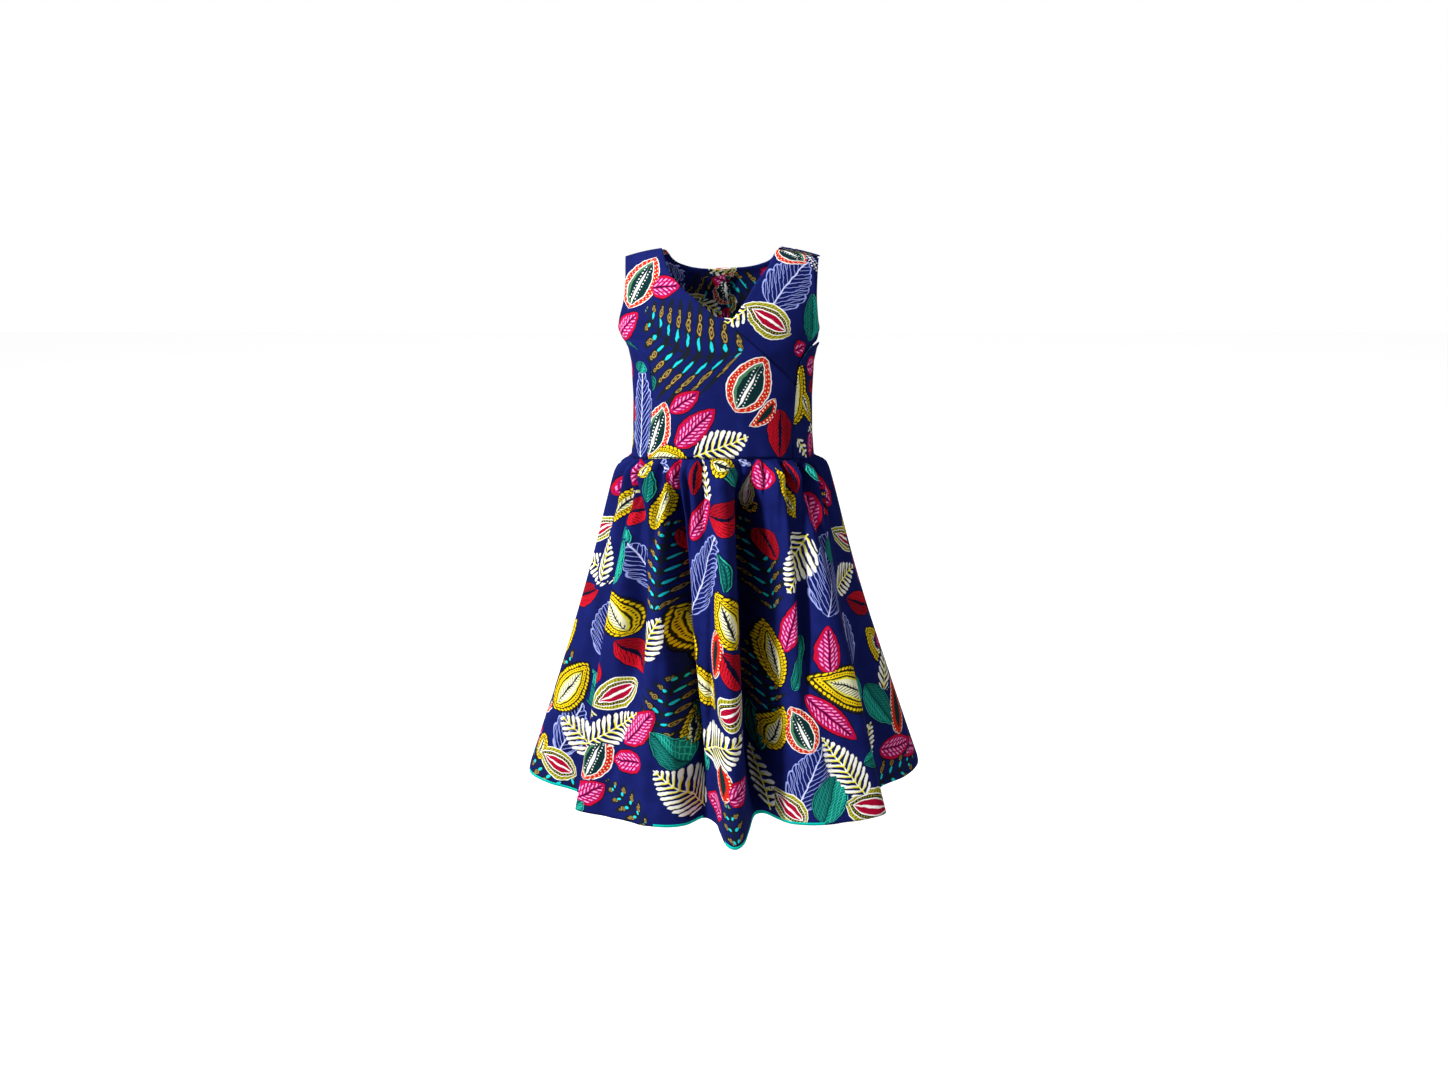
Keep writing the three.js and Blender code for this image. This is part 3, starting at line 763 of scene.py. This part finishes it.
# ---- where the print falls ----------------------------------------------------------------------
# Each motif: kind, its stem end and its tip as x and z seen from the front, width and bend, in mm.
# NOT AN EXAMPLE TO FOLLOW: these rows were not laid out by hand. A scratch program wrote all but one of
# them, which is against the rules for this script.
PRINT = {
    "bodice_front_right": [
        ("pod", -104, -67, -74, -13, 35, 0), ("pink", -80, -46, -43, -36, 24, 0),
        ("pink", -119, -102, -94, -71, 20, 0), ("teal", -108, -103, -81, -138, 15, -5),
        ("teal", -88, -141, -81, -157, 9, 0), ("fern", 21, -112, -84, -66, 124, 29),
        ("pod", -84, -237, -64, -167, 32, 0), ("pink", -58, -179, -25, -155, 20, 0),
        ("pink", -52, -216, -9, -173, 28, 0), ("palm", -33, -234, 28, -203, 40, 0),
        ("yellow", -82, -241, -39, -232, 31, 0), ("pod", 13, -175, 61, -102, 49, 0),
        ("sliver", 59, -165, 30, -192, 17, 4), ("red", 64, -176, 63, -232, 27, 0)],
    "bodice_front_left": [
        ("palm", 27, -66, -1, -84, 22, 0), ("olive", 74, -96, 20, -60, 35, 0),
        ("feather", 52, -64, 95, -18, 52, 0), ("pod", 62, 5, 93, -20, 30, 0),
        ("dots", 93, -8, 107, -29, 14, 0), ("teal", 98, -102, 100, -51, 19, 0),
        ("pink", 80, -112, 93, -108, 18, 0)],
    "bodice_side_left": [
        ("pink", 92, -134, 109, -126, 21, 0), ("yellow", 76, -195, 89, -129, 31, 5),
        ("yellow", 85, -154, 103, -197, 15, 0), ("pink", 103, -208, 100, -235, 15, 0),
        ("palm", 85, -210, 94, -234, 10, 0)],
    "bodice_side_right": [
        ("teal", -93, -137, -89, -125, 14, 0), ("feather", -93, -239, -91, -130, 27, 0)],
    "skirt_front": [
        ("pink", -118, -260, -97, -238, 20, 0), ("yellow", -127, -312, -107, -254, 25, 0),
        ("yellow", -92, -250, -79, -230, 15, 0), ("teal", -86, -276, -79, -242, 15, 0),
        ("feather", -75, -233, -61, -244, 13, 0), ("pink", -56, -262, -45, -229, 21, 0),
        ("red", -33, -265, -28, -225, 14, 0), ("palm", -16, -274, -22, -229, 12, 0),
        ("yellow", -13, -229, 15, -238, 18, 0), ("teal", 5, -233, 19, -263, 11, 0),
        ("olive", 28, -290, 31, -243, 13, 0), ("feather", 17, -229, 33, -235, 9, 0),
        ("pink", 47, -262, 38, -228, 21, 0), ("yellow", 82, -294, 57, -237, 14, 0),
        ("red", 83, -268, 69, -231, 15, 0), ("dots", 84, -236, 94, -261, 9, 0),
        ("teal", 94, -240, 110, -259, 12, 0), ("pink", 102, -238, 121, -271, 14, 0),
        ("pink", 107, -314, 100, -268, 19, 0), ("red", 120, -275, 130, -312, 10, 0),
        ("red", -116, -297, -79, -289, 27, 0), ("yellow", -79, -307, -60, -252, 20, 0),
        ("pink", -36, -317, -14, -268, 21, 0), ("red", -13, -285, 26, -286, 35, 0),
        ("yellow", 24, -293, 37, -279, 9, 0), ("teal", -124, -373, -112, -322, 28, 5),
        ("palm", -144, -382, -131, -329, 21, 0), ("fern", -76, -394, -56, -297, 78, 0),
        ("red", -52, -309, -37, -352, 16, 0), ("feather", -35, -401, -8, -306, 31, 0),
        ("teal", 2, -363, -4, -319, 11, -3), ("fern", 58, -394, 21, -301, 67, 0),
        ("red", 37, -306, 61, -336, 22, 0), ("palm", 95, -312, 73, -371, 36, 0),
        ("feather", 119, -401, 119, -314, 43, 0), ("yellow", -112, -429, -136, -380, 39, 0),
        ("yellow", 17, -426, -5, -363, 37, 0), ("palm", -93, -452, -68, -400, 27, 0),
        ("red", -124, -434, -91, -469, 30, 0), ("yellow", -35, -459, -56, -393, 31, 0),
        ("yellow", -12, -502, -39, -451, 27, 0), ("sliver", -14, -467, -4, -403, 17, 0),
        ("pink", 70, -438, 84, -381, 21, 0), ("yellow", 65, -479, 44, -409, 33, 0),
        ("teal", 79, -483, 90, -424, 15, 0), ("pink", 120, -467, 119, -411, 28, 0),
        ("red", -1, -426, 24, -474, 24, 0), ("yellow", 177, -503, 103, -469, 48, -7),
        ("olive", -97, -483, -152, -511, 36, 0), ("palm", -164, -562, -97, -511, 37, 0),
        ("yellow", -206, -545, -160, -483, 40, 0), ("feather", -200, -600, -168, -533, 42, 0),
        ("olive", -177, -625, -224, -601, 36, 0), ("pod", -161, -599, -134, -540, 39, 0),
        ("pink", -172, -623, -137, -605, 29, 0), ("pink", -112, -550, -78, -503, 25, 0),
        ("pink", -92, -569, -129, -573, 27, 0), ("teal", -38, -572, -82, -530, 33, 0),
        ("fern", -88, -644, -135, -597, 38, 0), ("fern", -82, -541, -35, -464, 75, 0),
        ("palm", -20, -626, -80, -572, 53, 0), ("yellow", -36, -563, -33, -512, 14, 0),
        ("teal", -17, -582, -34, -508, 17, 0), ("olive", -5, -505, 31, -488, 38, 0),
        ("palm", -21, -561, 25, -522, 41, 0), ("sliver", 2, -599, -3, -547, 19, 0),
        ("pink", 5, -596, 29, -577, 27, 0), ("pink", 2, -622, -22, -608, 27, 0),
        ("fern", 20, -655, 4, -597, 30, 0), ("palm", 57, -631, 32, -572, 28, 0),
        ("olive", 95, -638, 50, -605, 33, 0), ("feather", 85, -619, 114, -544, 51, 0),
        ("pod", 101, -552, 76, -500, 38, 0), ("yellow", 47, -559, 68, -501, 32, 0),
        ("pink", 93, -488, 152, -538, 27, 0), ("palm", 166, -604, 112, -534, 39, 0),
        ("teal", 116, -638, 129, -576, 37, 0), ("olive", 140, -611, 186, -635, 42, 0),
        ("teal", 171, -515, 207, -568, 30, 0), ("teal", 178, -581, 175, -548, 19, 0),
        ("palm", 196, -526, 201, -478, 22, 0), ("sliver", 217, -586, 208, -513, 21, 0),
        ("pink", 192, -599, 231, -598, 28, 0), ("pink", 192, -477, 196, -451, 15, 0),
        ("yellow", -227, -611, -215, -579, 14, 0), ("fern", -180, -495, -205, -464, 29, 0),
        ("fern", 56, -525, 37, -438, 52, 0), ("teal", 43, -568, 33, -516, 14, 0),
        ("teal", -176, -639, -164, -624, 14, 0), ("red", 181, -611, 191, -604, 14, 0)],
}
# The same for the sides of each piece, as y and z seen from the side; the back's y is turned round.
# These rows were typed.
SIDE_PRINT = {
    "skirt_front": [
        ("pink", -20, -290, -34, -250, 20, 0), ("olive", 0, -345, -34, -318, 28, 0),
        ("palm", -58, -384, -16, -366, 30, 0), ("red", -8, -420, -44, -398, 28, 0),
        ("feather", -60, -484, -52, -412, 34, 0), ("yellow", -4, -492, -30, -440, 34, 0),
        ("teal", -70, -540, -52, -494, 28, 0), ("pod", -8, -566, -34, -508, 38, 0),
        ("pink", -2, -606, -38, -588, 26, 0), ("palm", -82, -600, -46, -556, 32, 0),
        ("fern", -66, -650, -14, -612, 46, 0), ("pink", -92, -442, -80, -398, 22, 0),
        ("yellow", -66, -300, -48, -258, 24, 0), ("teal", -78, -344, -66, -308, 20, 0),
        ("red", -104, -494, -78, -462, 26, 0), ("olive", -118, -556, -88, -524, 30, 0),
        ("pink", -112, -628, -84, -606, 24, 0), ("feather", -104, -384, -84, -330, 26, 0)],
    "skirt_back": [
        ("red", -10, -282, -32, -262, 22, 0), ("yellow", -12, -338, -40, -296, 28, 0),
        ("feather", -50, -388, -44, -318, 30, 0), ("pink", -8, -396, -24, -356, 24, 0),
        ("palm", -6, -450, -50, -420, 34, 0), ("olive", -60, -470, -36, -498, 30, 0),
        ("pod", -14, -530, -34, -474, 36, 0), ("pink", -54, -546, -34, -508, 26, 0),
        ("teal", -10, -590, -40, -556, 28, 0), ("yellow", -78, -590, -52, -548, 34, 0),
        ("palm", -10, -640, -44, -598, 36, 0), ("red", -84, -424, -64, -396, 24, 0),
        ("fern", -84, -640, -50, -604, 40, 0), ("pink", -100, -500, -84, -460, 22, 0)],
    "bodice_side_left": [
        ("teal", 38, -150, 24, -112, 22, 0), ("pod", -12, -216, 18, -160, 32, 0),
        ("feather", 42, -228, 36, -164, 24, 0), ("red", -34, -160, -8, -140, 20, 0),
        ("palm", -38, -226, -16, -188, 22, 0), ("pink", 4, -150, 22, -126, 16, 0)],
    "bodice_side_right": [
        ("pink", 30, -148, 40, -112, 20, 0), ("olive", -2, -178, 24, -144, 24, 0),
        ("palm", 40, -226, 20, -180, 28, 0), ("red", -26, -196, -8, -170, 20, 0),
        ("yellow", -20, -228, 4, -196, 22, 0), ("pink", -22, -146, -6, -126, 16, 0)],
}
# Stretches of the hem, as x seen from the front, where the turquoise selvedge shows. The second and
# third come from the program that wrote PRINT, and the first may.
SELVEDGE_SHOWS = [(-240, -176), (-79, -23), (3, 117)]
SELVEDGE_WIDTH = 4.5


def lay_print(piece, node, motifs, behind=False):
    """Give each face the motif whose outline covers it, as attributes that the material reads."""
    mesh = piece.data
    count = len(mesh.polygons)
    middle = np.empty(count * 3)
    mesh.polygons.foreach_get("center", middle)
    middle = middle.reshape(-1, 3) / MM
    corner = np.empty(len(mesh.loops) * 2)
    mesh.uv_layers["cloth"].data.foreach_get("uv", corner)
    cloth = corner.reshape(-1, 4, 2).mean(axis=1) / MM
    layers = {name: (np.zeros((count, 4)), np.zeros((count, 4)), np.full(count, -1e9))
              for name in ("leaf", "fern")}

    def stamp(motif, seen, depth, beneath_others):
        """One motif placed by its ends in a straight view: seen holds each face's place in it."""
        kind, x0, z0, x1, z1, wide, bend = motif

        def spot(x, z):
            away = np.hypot(seen[:, 0] - x, seen[:, 1] - z)
            near = away < max(6.0, away.min() + 2.0)
            shown = near & (depth < depth[near].min() + 12)
            return cloth[np.flatnonzero(shown)[away[shown].argmin()]]

        stem, tip, view = spot(x0, z0), spot(x1, z1), np.array([x1 - x0, z1 - z0], float)
        chord = np.linalg.norm(view)
        centre, way = (stem + tip) / 2, tip - stem
        round_fold = not 0.6 * chord < np.linalg.norm(way) < 1.5 * chord     # an end lies round a fold
        if round_fold:
            centre = spot((x0 + x1) / 2, (z0 + z1) / 2)
        # how the flat cloth lies in the view round here: turn what is seen into flat measure
        near = np.hypot(*(cloth - centre).T) < max(12, wide * 0.4)
        fit = np.linalg.lstsq(np.c_[cloth[near] - centre, np.ones(near.sum())], seen[near], rcond=None)[0]
        back = np.linalg.pinv(fit[:2].T)
        if round_fold:
            way = back @ view
            way *= min(1.4, max(0.8, np.linalg.norm(way) / chord)) * chord / np.linalg.norm(way)
        long = np.linalg.norm(way)
        cosine, sine = way / long
        across_seen = back @ (np.array([-view[1], view[0]]) / chord)
        widen = min(1.45, max(0.8, abs(cosine * across_seen[1] - sine * across_seen[0])))
        wide, bend = wide * widen, bend * widen
        du, dv = (cloth - centre).T
        t = (du * cosine + dv * sine) / (long / 2)
        across = dv * cosine - du * sine - bend * (1 - t * t)
        swell = np.maximum(0, 1 - t * t) ** SWELL * (1 - LEAN * t)
        inside = np.where(np.abs(t) < 1.04, wide / 2 * swell - np.abs(across), -99)
        at, size, best = layers["fern" if kind in dict(FERNS) else "leaf"]
        take = (inside > -5) & ((best < -5) if beneath_others else (inside > best))
        at[take] = (*centre, cosine, sine)
        size[take] = (KIND[kind], long, wide, bend)
        best[take] = inside[take]

    for motif in motifs:
        stamp(motif, middle[:, [0, 2]], middle[:, 1] * (-1 if behind else 1), False)
    skirt, flip = piece.name.startswith("skirt"), -1 if behind else 1
    for kind, y0, z0, y1, z1, wide, bend in SIDE_PRINT.get(node, []):
        for side in (-1, 1) if skirt else (1 if middle[0, 0] > 0 else -1,):
            drop = -6 * side if skirt else 0
            placed = (kind, y0 * flip, z0 + drop, y1 * flip, z1 + drop, wide, bend)
            stamp(placed, middle[:, [1, 2]], -middle[:, 0] * side, True)
    for name, (at, size, _) in layers.items():
        for suffix, values in (("_at", at), ("_size", size)):
            made = mesh.attributes.new(name + suffix, "FLOAT_COLOR", "FACE")
            made.data.foreach_set("color", values.ravel())
    marks = np.zeros(count)
    low = cloth[:, 1] < -(BODICE + SKIRT - SELVEDGE_WIDTH)
    for x0, x1 in SELVEDGE_SHOWS:
        marks[low & (middle[:, 0] > x0) & (middle[:, 0] < x1) & (abs(middle[:, 1]) > 20)] = 1
    mesh.attributes.new("selvedge", "FLOAT", "FACE").data.foreach_set("value", marks)


def turned(motifs):
    """The same run of motifs for a hidden panel, mirrored side to side."""
    return [(kind, -x0, z0, -x1, z1, wide, -bend) for kind, x0, z0, x1, z1, wide, bend in motifs]


PRINT["skirt_back"] = turned(PRINT["skirt_front"])
back_run = turned(PRINT["bodice_front_right"] + PRINT["bodice_front_left"])
back_run += [("olive", -106, -12, -64, -1, 19, 0), ("palm", 64, -1, 106, -12, 17, 0)]
PRINT["bodice_back_left"] = PRINT["bodice_back_right"] = back_run

# ---- finish every piece -------------------------------------------------------------------------
print_cloth = wax_print()
for node, piece in pieces.items():
    lay_print(piece, node, PRINT[node], "back" in node)
    piece.data.materials.append(print_cloth)
    solid = piece.modifiers.new("thickness", "SOLIDIFY")
    solid.thickness = CLOTH * MM
    solid.offset = 0
    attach(piece, "root")
    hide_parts(node)
    flat_area(piece)


# ---- camera, floor and light --------------------------------------------------------------------
def lamp(name, place_at, aim, size, power):
    light = bpy.data.lights.new(name, "AREA")
    light.shape, light.size, light.energy = "DISK", size, power
    made = bpy.data.objects.new(name, light)
    made.location = place_at
    made.rotation_euler = (Vector(aim) - Vector(place_at)).to_track_quat("-Z", "Y").to_euler()
    bpy.context.scene.collection.objects.link(made)


CAMERA_LENS, CAMERA_AT, CAMERA_DIP = 29.83, (0.0015, -1.390, 0.040), 15.6      # mm, metres, degrees
FLOOR_Z = -0.883
FLOOR_GLOW, WORLD_GLOW = 0.92, 0.08

camera_data = bpy.data.cameras.new("camera")
camera_data.lens, camera_data.sensor_width = CAMERA_LENS, 36.0
camera = bpy.data.objects.new("camera", camera_data)
camera.location = CAMERA_AT
camera.rotation_euler = (math.radians(90 - CAMERA_DIP), 0, 0)
bpy.context.scene.collection.objects.link(camera)
bpy.context.scene.camera = camera
bpy.context.scene.view_settings.view_transform = "Standard"

floor_mesh = bpy.data.meshes.new("floor")
bm = bmesh.new()
bmesh.ops.create_grid(bm, x_segments=1, y_segments=1, size=8.0,
                      matrix=Matrix.Translation((0, 0, FLOOR_Z)))
bm.to_mesh(floor_mesh)
bm.free()
floor = bpy.data.objects.new("floor", floor_mesh)
bpy.context.scene.collection.objects.link(floor)
pale = bpy.data.materials.new("pale_floor")
pale.use_nodes = True
paper = pale.node_tree.nodes["Principled BSDF"].inputs
paper["Base Color"].default_value = (0.62, 0.62, 0.62, 1)
paper["Roughness"].default_value = 1.0
paper["Specular IOR Level"].default_value = 0.0
bright = pale.node_tree.nodes.new("ShaderNodeLightPath")       # the paper sweep glows to white
glow = pale.node_tree.nodes.new("ShaderNodeMath")
glow.operation = "MULTIPLY"
glow.inputs[1].default_value = FLOOR_GLOW
pale.node_tree.links.new(bright.outputs["Is Camera Ray"], glow.inputs[0])
paper["Emission Color"].default_value = (1, 1, 1, 1)
pale.node_tree.links.new(glow.outputs[0], paper["Emission Strength"])
floor_mesh.materials.append(pale)

lamp("key", (-2.3, -1.5, 1.6), (0, 0, -0.35), 0.4, 162)
lamp("fill", (2.3, -1.2, 0.9), (0, 0, -0.35), 0.8, 15)
lamp("top", (-0.3, 0.5, 2.4), (0, 0, -0.3), 1.2, 30)
world = bpy.data.worlds.new("studio")
world.use_nodes = True
nodes, links = world.node_tree.nodes, world.node_tree.links
seen, dim = nodes.new("ShaderNodeLightPath"), nodes["Background"]
backing, choose = nodes.new("ShaderNodeBackground"), nodes.new("ShaderNodeMixShader")
dim.inputs[0].default_value, dim.inputs[1].default_value = (1, 1, 1, 1), WORLD_GLOW
backing.inputs[0].default_value, backing.inputs[1].default_value = (1, 1, 1, 1), 1.0
links.new(seen.outputs["Is Camera Ray"], choose.inputs[0])
links.new(dim.outputs[0], choose.inputs[1])
links.new(backing.outputs[0], choose.inputs[2])
links.new(choose.outputs[0], nodes["World Output"].inputs[0])
bpy.context.scene.world = world
